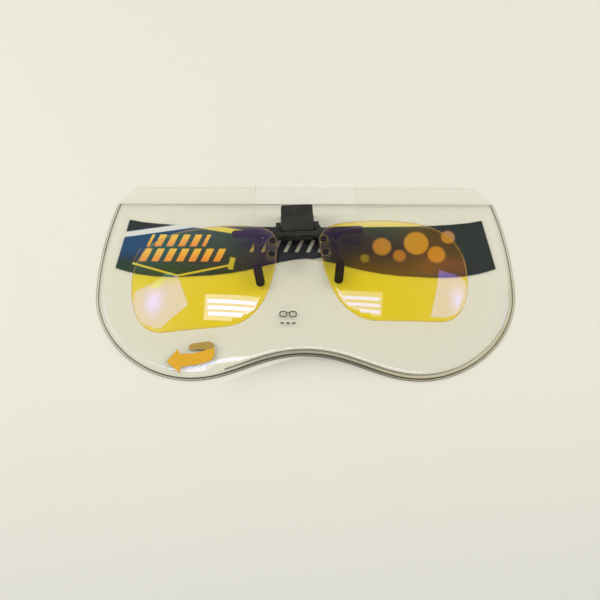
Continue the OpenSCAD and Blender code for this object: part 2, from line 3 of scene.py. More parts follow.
import bmesh
import bpy
import numpy as np
from mathutils import Matrix, Vector, noise
from mathutils.geometry import delaunay_2d_cdt
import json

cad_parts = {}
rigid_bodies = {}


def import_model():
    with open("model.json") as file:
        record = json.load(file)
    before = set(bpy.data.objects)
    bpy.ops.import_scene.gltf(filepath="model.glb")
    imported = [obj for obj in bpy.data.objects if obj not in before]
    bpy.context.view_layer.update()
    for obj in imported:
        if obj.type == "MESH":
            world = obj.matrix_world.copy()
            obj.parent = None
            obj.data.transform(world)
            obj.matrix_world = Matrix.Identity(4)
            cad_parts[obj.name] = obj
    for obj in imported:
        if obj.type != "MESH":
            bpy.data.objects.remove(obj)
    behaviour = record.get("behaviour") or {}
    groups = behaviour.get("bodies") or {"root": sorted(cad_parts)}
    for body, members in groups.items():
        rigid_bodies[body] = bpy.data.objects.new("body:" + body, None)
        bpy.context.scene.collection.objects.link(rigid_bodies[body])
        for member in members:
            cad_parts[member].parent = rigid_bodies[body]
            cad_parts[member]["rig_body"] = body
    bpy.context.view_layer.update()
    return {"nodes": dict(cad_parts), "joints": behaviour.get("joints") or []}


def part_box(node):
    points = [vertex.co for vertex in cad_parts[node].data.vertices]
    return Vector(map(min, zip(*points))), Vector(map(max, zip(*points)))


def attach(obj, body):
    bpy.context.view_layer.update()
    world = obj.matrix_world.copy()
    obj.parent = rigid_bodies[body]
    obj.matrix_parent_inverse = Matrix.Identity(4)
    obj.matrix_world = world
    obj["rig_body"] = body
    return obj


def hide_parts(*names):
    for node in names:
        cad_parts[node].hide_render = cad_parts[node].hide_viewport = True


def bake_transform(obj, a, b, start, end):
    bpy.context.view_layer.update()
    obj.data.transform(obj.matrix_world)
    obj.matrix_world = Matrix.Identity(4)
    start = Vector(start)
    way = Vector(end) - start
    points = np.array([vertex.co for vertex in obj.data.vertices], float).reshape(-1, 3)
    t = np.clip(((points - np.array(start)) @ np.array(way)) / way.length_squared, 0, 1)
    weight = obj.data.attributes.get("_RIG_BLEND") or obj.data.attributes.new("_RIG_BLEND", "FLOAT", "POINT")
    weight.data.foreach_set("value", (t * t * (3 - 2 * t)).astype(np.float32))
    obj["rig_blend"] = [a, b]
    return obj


# Clip-on flip-up night driving glasses, face up on their clear pouch.
# The frame has X across the face, Y up the face and Z out of it. Lengths are in millimetres, and the
# functions that build meshes and materials turn them into the frame's metres.
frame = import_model()
MM = 0.001
SMOOTH_TO = math.radians(35)
BEVEL_FROM = math.radians(32)

# Joints
joints = {j["name"]: Vector(j.get("pos_m", (0, 0, 0))) / MM for j in frame["joints"]}
PIVOT = joints["squeeze"]
FLIP = joints["flip"]

# Lenses
LENS_T = 1.2
LENS_BACK_R = 109
LENS_ROUND = 0.28
RIM_TURNS = [math.radians(90) * share for share in (0.35, 0.75, 1)]
CROWN = Vector((27.4, 10))
SCREW_PITCH = 5.8
SCREW_LEAN = math.radians(6)
LENS_HOLE_R = 1.0
HOLE_CLEAR = 0.5
PAD_INSET = 2.1
PAD_DROP = 10.5
LENS_CURVES = [
    [(-1, 0.59), (-1, 0.97), (-0.81, 0.98), (-0.46, 1)],
    [(-0.46, 1), (0.57, 1.02), (1.02, 0.83), (1, -0.13)],
    [(1, -0.13), (1, -0.61), (0.86, -1), (0.54, -1)],
    [(0.54, -1), (0.26, -1), (-0.02, -1), (-0.29, -0.98)],
    [(-0.29, -0.98), (-0.79, -0.94), (-1, -0.08), (-1, 0.59)],
]

# Pouch, in its own frame. Its dressed films stay a little inside their solids' faces
POUCH_TURN = math.radians(-2.5)
POUCH_SHIFT = 2.1
FILM_T = 0.35
FILM_SHY = 0.01
POUCH_HALF_W = 83.8
MOUTH_Y = 41.6
HEADER_H = 7.9
WELD_W = 2.3
POUCH_RISE = 2
NOSE_DROP = 23.6
LOBE = Vector((POUCH_HALF_W - 39, -33.8))
WAIST_Y = 2
MOUTH_HALF = POUCH_HALF_W - 6.6
FLAP_HALF = 20.9
FLAP_REACH = 2.1
FLAP_TUCK = 6
FLAP_CORNER = 1.5
FOLD_R = FILM_T + 0.2
FOLD_MID_R = FOLD_R - FILM_T / 2
FOLD_Y = MOUTH_Y + HEADER_H + FLAP_REACH - FOLD_R
TUCK_Y = MOUTH_Y - FLAP_TUCK
POUCH_CURVES = [
    [(0, -NOSE_DROP), (18, -NOSE_DROP), (LOBE.x - 16.5, LOBE.y), (LOBE.x, LOBE.y)],
    [(LOBE.x, LOBE.y), (LOBE.x + 21.5, LOBE.y), (POUCH_HALF_W, WAIST_Y - 18), (POUCH_HALF_W, WAIST_Y)],
    [
        (POUCH_HALF_W, WAIST_Y), (POUCH_HALF_W, WAIST_Y + 13),
        (MOUTH_HALF + 4.4, MOUTH_Y - 13), (MOUTH_HALF, MOUTH_Y),
    ],
]
# Insets of the thin lines along the pouch's contour: its cut edge, the seam and the weld's inner line,
# which shows only to the right of a point and below it, the line at the mouth, and then the rings that
# carry the front film's rise
EDGE_LINE = 0.2
SEAM = (0.8, 1.2)
INNER_LINE = (2.3, 2.7)
INNER_SHOWS = Vector((-32, 5))
MOUTH_LINE = 0.4
RISE_RINGS = (3.0, 3.4, 4.0, 4.8, 6.6, 9, 13)
# The front film's rise inside the weld, its slack all over, and its folds round one crinkled place
RISE_RUN = 0.3
CRINKLE = Vector((-35, -29))
CRINKLE_REACH = Vector((14, 5))
CRINKLE_RUN = 4.5
CRINKLE_SINK = 0.6
SLACK_WAVE = Vector((24, 15))
SLACK_LEVEL = 0.35
SLACK_DEPTH = 0.14
FOLD_WAVE = Vector((11, 1.9))
FOLD_LEAN = 0.22
FOLD_DEPTH = 0.12

# What delaunay_2d_cdt keeps: triangles inside the outline, or those of them outside its holes
INSIDE = 1
OUTSIDE_HOLES = 2


# Outlines

def bezier(c, t):
    """The point at t, from 0 to 1, of a cubic curve with four control points."""
    u = 1 - t
    return c[0] * u**3 + c[1] * (3 * u * u * t) + c[2] * (3 * u * t * t) + c[3] * t**3


def curve_points(curves, steps):
    """Points along a chain of cubic curves, without the last curve's end."""
    curves = [[Vector(p) for p in c] for c in curves]
    return [bezier(c, i / steps) for c in curves for i in range(steps)]


def offset_loop(loop, inset):
    """A closed counterclockwise loop moved inwards, with mitred corners."""
    moved = []
    for i, p in enumerate(loop):
        before = (p - loop[i - 1]).normalized()
        after = (loop[(i + 1) % len(loop)] - p).normalized()
        inward = Vector((-before.y - after.y, before.x + after.x)).normalized()
        moved.append(p + inward * (inset / max(0.3, inward.dot(Vector((-before.y, before.x))))))
    return moved


def circle(centre, radius, count):
    """A counterclockwise ring of points."""
    return [
        Vector(centre) + radius * Vector((math.cos(a), math.sin(a)))
        for a in (2 * math.pi * i / count for i in range(count))
    ]


def chain(start, count, closed=True):
    """The edges that join points in a row, given as pairs of point numbers."""
    last = count if closed else count - 1
    return [(start + i, start + (i + 1) % count) for i in range(last)]


def between(a, b):
    """The faces between two rings of point numbers."""
    count = len(a)
    return [(a[i], a[(i + 1) % count], b[(i + 1) % count], b[i]) for i in range(count)]


def distance_to(loop, points):
    """The distance of each point from a closed loop, and whether it lies inside."""
    a = np.array([tuple(p) for p in loop])
    b = np.roll(a, -1, axis=0)
    p = np.array([tuple(q) for q in points]).reshape(-1, 1, 2)
    along = b - a
    t = np.clip(((p - a) * along).sum(2) / np.maximum((along**2).sum(1), 1e-12), 0, 1)
    nearest = np.sqrt((((a + t[..., None] * along) - p) ** 2).sum(2)).min(1)
    crosses = (a[:, 1] > p[..., 1]) != (b[:, 1] > p[..., 1])
    rise = np.where(along[:, 1] == 0, 1e-12, along[:, 1])
    left = p[..., 0] < a[:, 0] + (p[..., 1] - a[:, 1]) / rise * along[:, 0]
    return nearest, (crosses & left).sum(1) % 2 == 1


def grid_inside(loop, step, margin, box=None):
    """A staggered grid over a loop's box, or over the box of other points. Only points inside the loop
    and further from it than the margin are kept."""
    xs, ys = [p.x for p in box or loop], [p.y for p in box or loop]
    rows = int((max(ys) - min(ys)) / step) + 1
    columns = int((max(xs) - min(xs)) / step) + 1
    points = [
        Vector((min(xs) + (i + 0.5 * (j % 2)) * step, min(ys) + j * step))
        for j in range(rows) for i in range(columns)
    ]
    near, inside = distance_to(loop, points)
    return [p for p, d, ok in zip(points, near, inside) if ok and d > margin]


# Mesh builders

def mesh_object(name, points, faces, materials, indices=None, smooth_to=SMOOTH_TO, transform=None):
    """A smooth-shaded object from points in millimetres, with steeper edges than smooth_to left hard."""
    bm = bmesh.new()
    verts = [bm.verts.new(Vector(p) * MM) for p in points]
    for i, face in enumerate(faces):
        made = bm.faces.new([verts[k] for k in face])
        made.material_index = indices[i] if indices else 0
    if transform:
        bm.transform(transform)
    return finish_mesh(name, bm, materials, smooth_to)


def finish_mesh(name, bm, materials, smooth_to=SMOOTH_TO):
    """Turns a bmesh into a linked object, shaded smooth up to an angle between faces."""
    bmesh.ops.recalc_face_normals(bm, faces=bm.faces)
    for face in bm.faces:
        face.smooth = True
    for edge in bm.edges:
        edge.smooth = edge.is_manifold and edge.calc_face_angle() < smooth_to
    mesh = bpy.data.meshes.new(name)
    bm.to_mesh(mesh)
    bm.free()
    for old in [a for a in mesh.attributes if a.name == "custom_normal"]:
        mesh.attributes.remove(old)
    for material in materials:
        mesh.materials.append(material)
    obj = bpy.data.objects.new(name, mesh)
    bpy.context.scene.collection.objects.link(obj)
    return obj


def plate(name, outline, lines, extra, top, bottom, materials, pick, transform):
    """A closed plate over a plan, with its height from top() and bottom(). Lines and extra points in the
    plan carry its bends, pick() gives the faces their materials from their centres, and the walls have
    the second material."""
    plan = list(outline)
    edges = chain(0, len(outline))
    for line in lines:
        edges += chain(len(plan), len(line), closed=False)
        plan += line
    flat, _, faces, *_ = delaunay_2d_cdt(plan + extra, edges, [], INSIDE, 1e-5)
    count = len(flat)
    points = [(p.x, p.y, top(p)) for p in flat] + [(p.x, p.y, bottom(p)) for p in flat]
    sides = dict.fromkeys((a, b) for f in faces for a, b in zip(f, f[1:] + f[:1]))
    solid = [tuple(f) for f in faces]
    solid += [tuple(count + k for k in reversed(f)) for f in faces]
    walls = [(b, a, a + count, b + count) for a, b in sides if (b, a) not in sides]
    kinds = pick([sum((flat[k] for k in f), Vector((0, 0))) / len(f) for f in faces])
    indices = kinds + kinds + [1] * len(walls)
    return mesh_object(name, points, solid + walls, materials, indices, transform=transform)


def tube(name, path, radius, sides, material):
    """A round tube along a path, closed at both ends."""
    points, faces = [], []
    up = Vector((1, 0.02, 0.01))
    for i, p in enumerate(path):
        before = path[max(i, 1)] - path[max(i, 1) - 1]
        after = path[min(i + 1, len(path) - 1)] - path[min(i, len(path) - 2)]
        along = (before.normalized() + after.normalized()).normalized()
        u = along.cross(up).normalized()
        v = along.cross(u)
        for k in range(sides):
            a = 2 * math.pi * k / sides
            points.append(p + radius * (math.cos(a) * u + math.sin(a) * v))
    for i in range(len(path) - 1):
        for k in range(sides):
            j = (k + 1) % sides
            faces.append((i * sides + k, i * sides + j, (i + 1) * sides + j, (i + 1) * sides + k))
    faces.append(tuple(reversed(range(sides))))
    faces.append(tuple((len(path) - 1) * sides + k for k in range(sides)))
    return mesh_object(name, points, faces, [material])


def dressed(node, material, slot, bevel=0.0, rim=None):
    """The node's own shape with its hard edges rounded, and in the rim's material where one is given."""
    bm = bmesh.new()
    bm.from_mesh(frame["nodes"][node].data)
    bmesh.ops.remove_doubles(bm, verts=bm.verts, dist=0.001 * MM)
    bmesh.ops.dissolve_limit(bm, angle_limit=math.radians(1), verts=bm.verts, edges=bm.edges)
    for face in bm.faces:
        face.material_index = 0
    if bevel:
        hard = [e for e in bm.edges if e.is_manifold and e.calc_face_angle() > BEVEL_FROM]
        bmesh.ops.bevel(
            bm, geom=hard, offset=bevel * MM, offset_type="OFFSET", segments=2, profile=0.5,
            affect="EDGES", clamp_overlap=True, miter_outer="ARC", material=1 if rim else 0,
        )
    piece = finish_mesh(f"{node}_piece", bm, [material, rim] if rim else [material])
    weighted = piece.modifiers.new("weighted_normals", "WEIGHTED_NORMAL")
    weighted.keep_sharp = True
    seat(piece, frame["nodes"][node]["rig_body"], slot, node)


def seat(piece, body, slot, *nodes):
    """Rides a piece on its body and lets it stand for nodes. The slot is not used."""
    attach(piece, body)
    if nodes:
        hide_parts(*nodes)


# Materials

class Shader:
    """A material's node tree, or the world's. add() makes a node and sets or links its inputs."""

    def __init__(self, name, library=bpy.data.materials, place="Object"):
        self.owner = library.new(name)
        self.owner.use_nodes = True
        self.tree = self.owner.node_tree
        self.tree.nodes.clear()
        self.place = self.add("TexCoord").outputs[place]

    def add(self, kind, inputs=None, **settings):
        node = self.tree.nodes.new("ShaderNode" + kind)
        for key, value in settings.items():
            setattr(node, key, value)
        for key, value in (inputs or {}).items():
            if isinstance(value, bpy.types.NodeSocket):
                self.tree.links.new(value, node.inputs[key])
            else:
                node.inputs[key].default_value = value
        return node

    def math(self, operation, *values):
        return self.add("Math", dict(enumerate(values)), operation=operation).outputs[0]

    def times(self, first, *others):
        for other in others:
            first = self.math("MULTIPLY", first, other)
        return first

    def split(self, place=None):
        """The X, Y and Z of a place, by default the shaded one."""
        return self.add("SeparateXYZ", {0: place or self.place}).outputs

    def noise(self, size, detail):
        """Noise whose blotches are about size millimetres across."""
        inputs = {"Vector": self.place, "Scale": 1 / (size * MM), "Detail": detail}
        return self.add("TexNoise", inputs).outputs["Fac"]

    def remap(self, value, low, high, to_low=0.0, to_high=1.0):
        inputs = {"Value": value, 1: low, 2: high, 3: to_low, 4: to_high}
        return self.add("MapRange", inputs).outputs[0]

    def ramp(self, along, start, end, to_low=0.0, to_high=1.0):
        """remap() between two places that are given in millimetres."""
        return self.remap(along, start * MM, end * MM, to_low, to_high)

    def mix(self, factor, a, b):
        """A colour between two, each of them a node's output or three numbers."""
        a, b = ((*colour, 1) if isinstance(colour, tuple) else colour for colour in (a, b))
        return self.add("Mix", {0: factor, 6: a, 7: b}, data_type="RGBA").outputs[2]

    def within(self, value, low, high, soft=0.15):
        """1 where a value lies between low and high, with soft edges."""
        rises = self.remap(value, low - soft / 2, low + soft / 2)
        falls = self.remap(value, high - soft / 2, high + soft / 2, 1, 0)
        return self.times(rises, falls)

    def bump(self, height, distance, strength):
        """A normal bent by a height map that is up to distance millimetres high."""
        inputs = {"Height": height, "Distance": distance * MM, "Strength": strength}
        return self.add("Bump", inputs).outputs[0]

    def fresnel(self, straight_on, normal=None):
        """The share that a smooth surface mirrors, from its share when seen straight on."""
        weight = self.add("LayerWeight", {"Blend": 0.5, **({"Normal": normal} if normal else {})})
        return self.remap(self.math("POWER", weight.outputs["Facing"], 5), 0, 1, straight_on, 1)

    def principled(self, inputs):
        return self.add("BsdfPrincipled", inputs).outputs[0]

    def mix_shaders(self, share, a, b):
        return self.add("MixShader", {0: share, 1: a, 2: b}).outputs[0]

    def surface(self, shader, output="OutputMaterial"):
        self.tree.links.new(shader, self.add(output).inputs["Surface"])
        return self.owner


def black_plastic():
    """Moulded plastic with a fine grain and a few pale specks."""
    s = Shader("black_plastic")
    grain = s.noise(0.35, 2)
    mottle = s.noise(5, 4)
    colour = s.mix(s.remap(mottle, 0.35, 0.65), (0.024, 0.023, 0.019), (0.034, 0.033, 0.027))
    colour = s.mix(s.remap(s.noise(0.5, 5), 0.66, 0.74, 0, 0.5), colour, (0.060, 0.056, 0.048))
    return s.surface(s.principled({
        "Base Color": colour,
        "Roughness": s.remap(grain, 0.3, 0.7, 0.45, 0.62),
        "Specular IOR Level": 0.14,
        "Normal": s.bump(grain, 0.02, 0.35),
    }))


def black_rubber():
    """Matt rubber with fine pores and some dust."""
    s = Shader("black_rubber")
    pores = s.noise(0.25, 4)
    dust = s.remap(s.noise(0.5, 6), 0.62, 0.72)
    colour = s.mix(s.noise(3, 3), (0.012, 0.011, 0.011), (0.022, 0.019, 0.018))
    colour = s.mix(s.times(dust, 0.35), colour, (0.16, 0.14, 0.13))
    return s.surface(s.principled({
        "Base Color": colour,
        "Roughness": s.remap(pores, 0.3, 0.7, 0.50, 0.72),
        "Specular IOR Level": 0.1,
        "Normal": s.bump(pores, 0.06, 0.5),
    }))


def steel(name, low, high):
    """Steel with fine drawn lines, uneven between two colours."""
    s = Shader(name)
    lines = s.noise(0.12, 3)
    return s.surface(s.principled({
        "Base Color": s.mix(s.noise(1.5, 3), low, high),
        "Metallic": 1.0,
        "Roughness": s.remap(lines, 0.3, 0.7, 0.22, 0.38),
        "Normal": s.bump(lines, 0.004, 0.4),
    }))


def see_through(
    s, tint, share, gloss=(1, 1, 1, 1), roughness=0.0, normal=None, light=None, coat=None, haze_and_sheen=None,
):
    """A clear surface: straight through, tinted, with a share mirrored, a coat's mirror added and a
    matt share of pale white, which is hazy scatter on the films and a painted sheen on the lens. Rays
    from lamps and from matt surfaces pass it as through an open one, so what lies under it is lit, in
    the tint of light."""
    inputs = {"Color": gloss, "Roughness": roughness}
    if normal:
        inputs["Normal"] = normal
    mirror = s.add("BsdfGlossy", inputs).outputs[0]
    straight = s.add("BsdfRefraction", {"Color": tint, "Roughness": 0.0, "IOR": 1.0}).outputs[0]
    skin = s.mix_shaders(share, straight, mirror)
    if coat:
        sheen = s.add("BsdfGlossy", {"Color": coat, "Roughness": 0.0}).outputs[0]
        skin = s.add("AddShader", {0: skin, 1: sheen}).outputs[0]
    if haze_and_sheen:
        matt = s.add("BsdfDiffuse", {"Color": (0.90, 0.90, 0.86, 1)}).outputs[0]
        skin = s.mix_shaders(haze_and_sheen, skin, matt)
    return lets_light_in(s, skin, light or tint)


def lets_light_in(s, shader, tint):
    """The shader, apart from rays to lamps and from matt surfaces, which go straight through."""
    path = s.add("LightPath").outputs
    clear = s.add("BsdfTransparent", {"Color": tint}).outputs[0]
    for ray in ("Is Shadow Ray", "Is Diffuse Ray"):
        shader = s.mix_shaders(path[ray], shader, clear)
    return shader


def coated_lens():
    """Yellow sheet with an uneven anti-reflection coating. In the upper half its mirror goes from teal
    and blue at the left over violet to rose at the right, with deep blue along the top, and a painted
    sheen of pale matt white lies along the right lens's top."""
    s = Shader("coated_lens")
    tint, light = (1.0, 0.905, 0.19, 1), (1.0, 0.975, 0.96, 1)
    head_on, aslant, violet = (0.066, 0.079, 0.132), (0.22, 0.12, 0.14), (0.07, 0.052, 0.17)
    teal, blue, deep_blue = (0.03, 0.05, 0.06), (0.008, 0.085, 0.16), (0.03, 0.07, 0.30)
    rose, russet = (0.38, 0.12, 0.09), (0.17, 0.075, 0.06)
    x, y, _ = s.split()
    facing = s.add("LayerWeight", {"Blend": 0.5}).outputs["Facing"]
    uneven = s.math("ADD", facing, s.remap(s.noise(14, 2), 0, 1, -0.04, 0.04))
    left = s.mix(s.ramp(y, 10, 18), teal, blue)
    right = s.mix(s.ramp(y, 10, 14), rose, russet)
    upper = s.mix(s.ramp(x, -50, -36), left, violet)
    upper = s.mix(s.ramp(x, 35, 50), upper, right)
    coat = s.mix(s.remap(uneven, 0.06, 0.50), head_on, aslant)
    coat = s.mix(s.ramp(y, 3, 7), coat, upper)
    coat = s.mix(s.ramp(y, 26, 27.5), coat, deep_blue)
    front = s.math("SUBTRACT", 1, s.add("NewGeometry").outputs["Backfacing"])
    coat = s.mix(s.times(front, s.ramp(x, -5, 5, 1.0, 0.6)), (0, 0, 0), coat)
    # Painted sheen: pale matt white along the right lens's top, standing for light mirrored where the lens
    # bends toward the ceiling
    pale = s.times(front, s.ramp(y, 24, 25.6, 0, 0.17), s.ramp(x, 18, 26))
    return s.surface(see_through(s, tint, s.fresnel(0.0), light=light, coat=coat, haze_and_sheen=pale))


def lens_rim():
    """The polished edge of the yellow sheet, deep amber where it's seen along."""
    s = Shader("lens_rim")
    depth = s.noise(9, 3)
    body = s.principled({
        "Base Color": s.mix(depth, (0.50, 0.24, 0.05), (0.85, 0.62, 0.14)),
        "Roughness": 0.3,
        "IOR": 1.58,
    })
    clear = see_through(s, (0.98, 0.86, 0.42, 1), s.fresnel(0.06), (1, 0.85, 0.8, 1))
    return s.surface(s.mix_shaders(s.remap(depth, 0.3, 0.7, 0.06, 0.34), clear, body))


def clear_film(name, tint, mirrored, haze_and_sheen):
    """Clear sheet with a share mirrored straight on, and a hazy matt share beside and on scuffs."""
    s = Shader(name)
    scuffs = s.remap(s.noise(1.2, 6), 0.60, 0.75)
    normal = s.bump(s.noise(11, 2), 0.10, 0.5)
    share = s.fresnel(mirrored, normal)
    matt = s.remap(scuffs, 0, 1, *haze_and_sheen)
    return s.surface(see_through(s, tint, share, roughness=0.05, normal=normal, haze_and_sheen=matt))


def film_line(name, tint, dark, low, high):
    """A cut edge, seam or weld of the film. Its share of dark body goes from low at the pouch's sides to
    high toward the nose."""
    s = Shader(name)
    paler = tuple(2.2 * c for c in dark)
    body = s.principled({
        "Base Color": s.mix(s.noise(12, 3), dark, paler),
        "Roughness": 0.3,
    })
    clear = see_through(s, tint, s.fresnel(0.03), roughness=0.1)
    toward_nose = s.ramp(s.math("ABSOLUTE", s.split()[0]), 84, 35)
    uneven = s.remap(s.noise(15, 2), 0.3, 0.7, -0.12, 0.12)
    share = s.remap(s.math("ADD", toward_nose, uneven), 0, 1, low, high)
    return s.surface(s.mix_shaders(share, clear, body))


def film_weld():
    """The welded border between the seam and its inner line. Its tint, olive toward the right and low
    and greyer at the nose, is partly the weld's own and partly painted shade.
    """
    s = Shader("film_weld")
    clear, olive, greyer = (0.985, 0.983, 0.970), (0.93, 0.905, 0.85), (0.86, 0.85, 0.82)
    x, y, _ = s.split()
    uneven = s.remap(s.noise(11, 3), 0.3, 0.7, 0.6, 1.0)
    right_and_low = s.times(s.ramp(x, -35, -5), s.ramp(y, 20, -12), uneven)
    # Greyer at the nose: partly painted shade between the films' lines
    nose = s.ramp(s.math("ABSOLUTE", x), 34, 18)
    tint = s.mix(nose, s.mix(right_and_low, clear, olive), greyer)
    normal = s.bump(s.noise(0.7, 2), 0.03, 0.5)
    return s.surface(see_through(s, tint, s.fresnel(0.02, normal), roughness=0.15, normal=normal))


def clear_bush():
    """Clear plastic of the lens's bushes."""
    s = Shader("clear_bush")
    return s.surface(see_through(s, (0.72, 0.68, 0.50, 1), s.fresnel(0.02), roughness=0.05))


def bush_rim_painted_glint():
    """The rounded edges of the clear bushes, painted a paler opaque colour for the glint of the light they
    gather.
    """
    s = Shader("bush_rim_painted_glint")
    # Painted glint: the rims' pale opaque colour stands for light caught in the clear plastic
    uneven = s.noise(0.8, 3)
    return s.surface(s.principled({
        "Base Color": s.mix(uneven, (0.22, 0.21, 0.13), (0.34, 0.32, 0.19)),
        "Roughness": 0.3,
        "Specular IOR Level": 0.3,
    }))


def stroke(s, x, y, start, end, width):
    """A straight printed stroke between two points, as a mask."""
    along = (Vector(end) - Vector(start)).normalized()
    middle = (Vector(start) + Vector(end)) / 2
    half = (Vector(end) - Vector(start)).length / 2
    dx = s.math("SUBTRACT", x, middle.x)
    dy = s.math("SUBTRACT", y, middle.y)
    u = s.math("ADD", s.times(dx, along.x), s.times(dy, along.y))
    v = s.math("ADD", s.times(dx, -along.y), s.times(dy, along.x))
    return s.times(s.within(u, -half, half), s.within(v, -width / 2, width / 2))


def repeat(s, value, pitch, share):
    """1 over the first share of each pitch."""
    part = s.math("FRACT", s.math("DIVIDE", value, pitch))
    return s.within(part, 0.04, share, 0.05)


def band_ground(s, x, y):
    """Dark card with soft patches of sky blue, greens and umber."""
    navy, night, sky = (0.010, 0.010, 0.016), (0.010, 0.015, 0.011), (0.004, 0.055, 0.15)
    forest, leaf, umber = (0.006, 0.035, 0.012), (0.02, 0.09, 0.045), (0.125, 0.078, 0.026)
    colour = s.mix(s.remap(x, 16, 60), navy, night)
    for across, up, paint in [
        (s.remap(x, -34, -17, 1, 0), s.remap(y, 15, 21), sky),
        (s.remap(x, -30, -16, 1, 0), s.remap(y, 14.5, 19, 1, 0), forest),
        (s.within(x, -4, 14, 10), s.remap(y, 12, 18, 0.9, 0), leaf),
        (s.within(x, 16, 54, 10), s.remap(y, 12, 21, 0.9, 0), umber),
        (s.within(x, 20, 46, 14), s.remap(y, 24, 32, 0, 0.5), leaf),
    ]:
        colour = s.mix(s.times(across, up), colour, paint)
    return colour


def band_strokes(s, x, y, colour):
    """A slanted stroke over a road's edges, and a V line with a short block."""
    ink, pale, yellow = (0.012, 0.015, 0.013), (0.72, 0.73, 0.70), (0.62, 0.60, 0.10)
    for start, end, width, paint in [
        ((-80, 30.7), (-53, 34.9), 4.4, ink),
        ((-76, 27.6), (-44, 32.6), 2.2, pale),
        ((-46, 32.4), (-14, 27.0), 2.2, pale),
        ((-40, 33.6), (6, 31.8), 2.2, (0.03, 0.07, 0.42)),
        ((-70, 15.4), (-51.5, 10.0), 0.9, yellow),
        ((-51.5, 10.0), (-29, 15.0), 0.9, yellow),
        ((-30.4, 12.8), (-29.4, 18.0), 2.2, (0.56, 0.56, 0.12)),
        ((-14, 12.8), (10, 18.0), 1.6, (0.42, 0.50, 0.30)),
    ]:
        colour = s.mix(stroke(s, x, y, start, end, width), colour, paint)
    return colour


def band_bars(s, x, y, colour):
    """Two rows of slanted gold bars, and a row of pale dashes."""
    slant = s.math("SUBTRACT", x, s.times(y, 0.45))
    amber, gold, pale = (0.80, 0.30, 0.02), (0.86, 0.62, 0.06), (0.50, 0.48, 0.40)
    for left, right, bottom, top, pitch in ((-75, -51, 22.8, 28.0, 4.8), (-77, -42, 16.2, 21.8, 5.0)):
        row = s.times(s.within(slant, left, right), s.within(y, bottom, top))
        bars = s.times(row, repeat(s, slant, pitch, 0.62))
        colour = s.mix(bars, colour, s.mix(s.remap(y, bottom, top), amber, gold))
    dashes = s.times(s.within(slant, -35, -2), s.within(y, 20.4, 25.6), repeat(s, slant, 4.6, 0.36))
    return s.mix(dashes, colour, pale)


def band_lights(s, x, y, colour):
    """Soft round lights at the right end."""
    for spot_x, spot_y, radius, paint in [
        (31, 23.0, 4.2, (0.55, 0.30, 0.08)),
        (38, 19.0, 3.0, (0.48, 0.22, 0.06)),
        (45, 24.5, 5.4, (0.62, 0.36, 0.13)),
        (53, 19.6, 4.0, (0.60, 0.30, 0.09)),
        (58, 27.2, 3.2, (0.52, 0.27, 0.10)),
        (24, 17.8, 2.2, (0.30, 0.26, 0.10)),
    ]:
        dx, dy = s.math("SUBTRACT", x, spot_x), s.math("SUBTRACT", y, spot_y)
        away = s.math("SQRT", s.math("ADD", s.times(dx, dx), s.times(dy, dy)))
        colour = s.mix(s.remap(away, radius - 0.9, radius, 0.8, 0), colour, paint)
    return colour


def printed_band():
    """Coated card with a plain road pattern, drawn in the pouch's own frame in millimetres."""
    s = Shader("printed_band")
    turned = s.add("Mapping", {
        "Vector": s.place,
        "Location": (-POUCH_SHIFT, 0, 0),
        "Rotation": (0, 0, -POUCH_TURN),
        "Scale": (1 / MM, 1 / MM, 1 / MM),
    }).outputs[0]
    x, y, _ = s.split(turned)
    colour = band_ground(s, x, y)
    for paint in (band_strokes, band_bars, band_lights):
        colour = paint(s, x, y, colour)
    fibre = s.noise(0.6, 4)
    return s.surface(s.principled({
        "Base Color": s.mix(s.remap(fibre, 0.3, 0.7, 0, 0.05), colour, (0.30, 0.30, 0.28)),
        "Roughness": s.remap(fibre, 0.3, 0.7, 0.32, 0.44),
        "Normal": s.bump(fibre, 0.01, 0.3),
        "Specular IOR Level": 0.2,
    }))


def sticker_ink(name, low, high):
    """Printed vinyl or ink, a little uneven between two colours."""
    s = Shader(name)
    fleck = s.noise(0.4, 3)
    return s.surface(s.principled({
        "Base Color": s.mix(s.noise(7, 2), low, high),
        "Roughness": s.remap(fleck, 0.3, 0.7, 0.34, 0.48),
        "Normal": s.bump(fleck, 0.01, 0.3),
        "Specular IOR Level": 0.2,
    }))


BLACK = black_plastic()
RUBBER = black_rubber()
STEEL = steel("bright_steel", (0.50, 0.49, 0.47), (0.66, 0.65, 0.62))
DARK_STEEL = steel("blackened_steel", (0.030, 0.027, 0.024), (0.060, 0.050, 0.042))
LENS = coated_lens()
RIM = lens_rim()
FILM = clear_film("clear_film", (0.996, 0.997, 0.986, 1), 0.03, (0.001, 0.008))
FLAP_FILM = clear_film("flap_film", (0.999, 1.0, 0.997, 1), 0.012, (0.09, 0.13))
WELD = film_weld()
EDGE = film_line("film_cut_edge", (0.97, 0.97, 0.95, 1), (0.035, 0.033, 0.022), 0.14, 0.70)
SEAM_LINE = film_line("film_seam", (0.97, 0.97, 0.94, 1), (0.014, 0.013, 0.008), 0.40, 0.95)
INNER = film_line("film_inner_line", (0.97, 0.97, 0.94, 1), (0.060, 0.056, 0.034), 0.12, 0.46)
MOUTH = film_line("film_mouth", (0.97, 0.97, 0.95, 1), (0.05, 0.05, 0.04), 0.34, 0.42)
FAINT = film_line("film_fold", (0.985, 0.985, 0.97, 1), (0.32, 0.32, 0.27), 0.02, 0.06)
BUSH = clear_bush()
BUSH_RIM_GLINT = bush_rim_painted_glint()
BAND = printed_band()
ARROW = sticker_ink("arrow_orange", (0.67, 0.35, 0.012), (0.77, 0.42, 0.018))
ARROW_BACK = sticker_ink("arrow_mustard", (0.37, 0.245, 0.050), (0.43, 0.29, 0.065))
INK = sticker_ink("grey_ink", (0.07, 0.065, 0.06), (0.10, 0.095, 0.085))


# Lenses: shallow ball shells with rounded rims and two bushed screw holes each

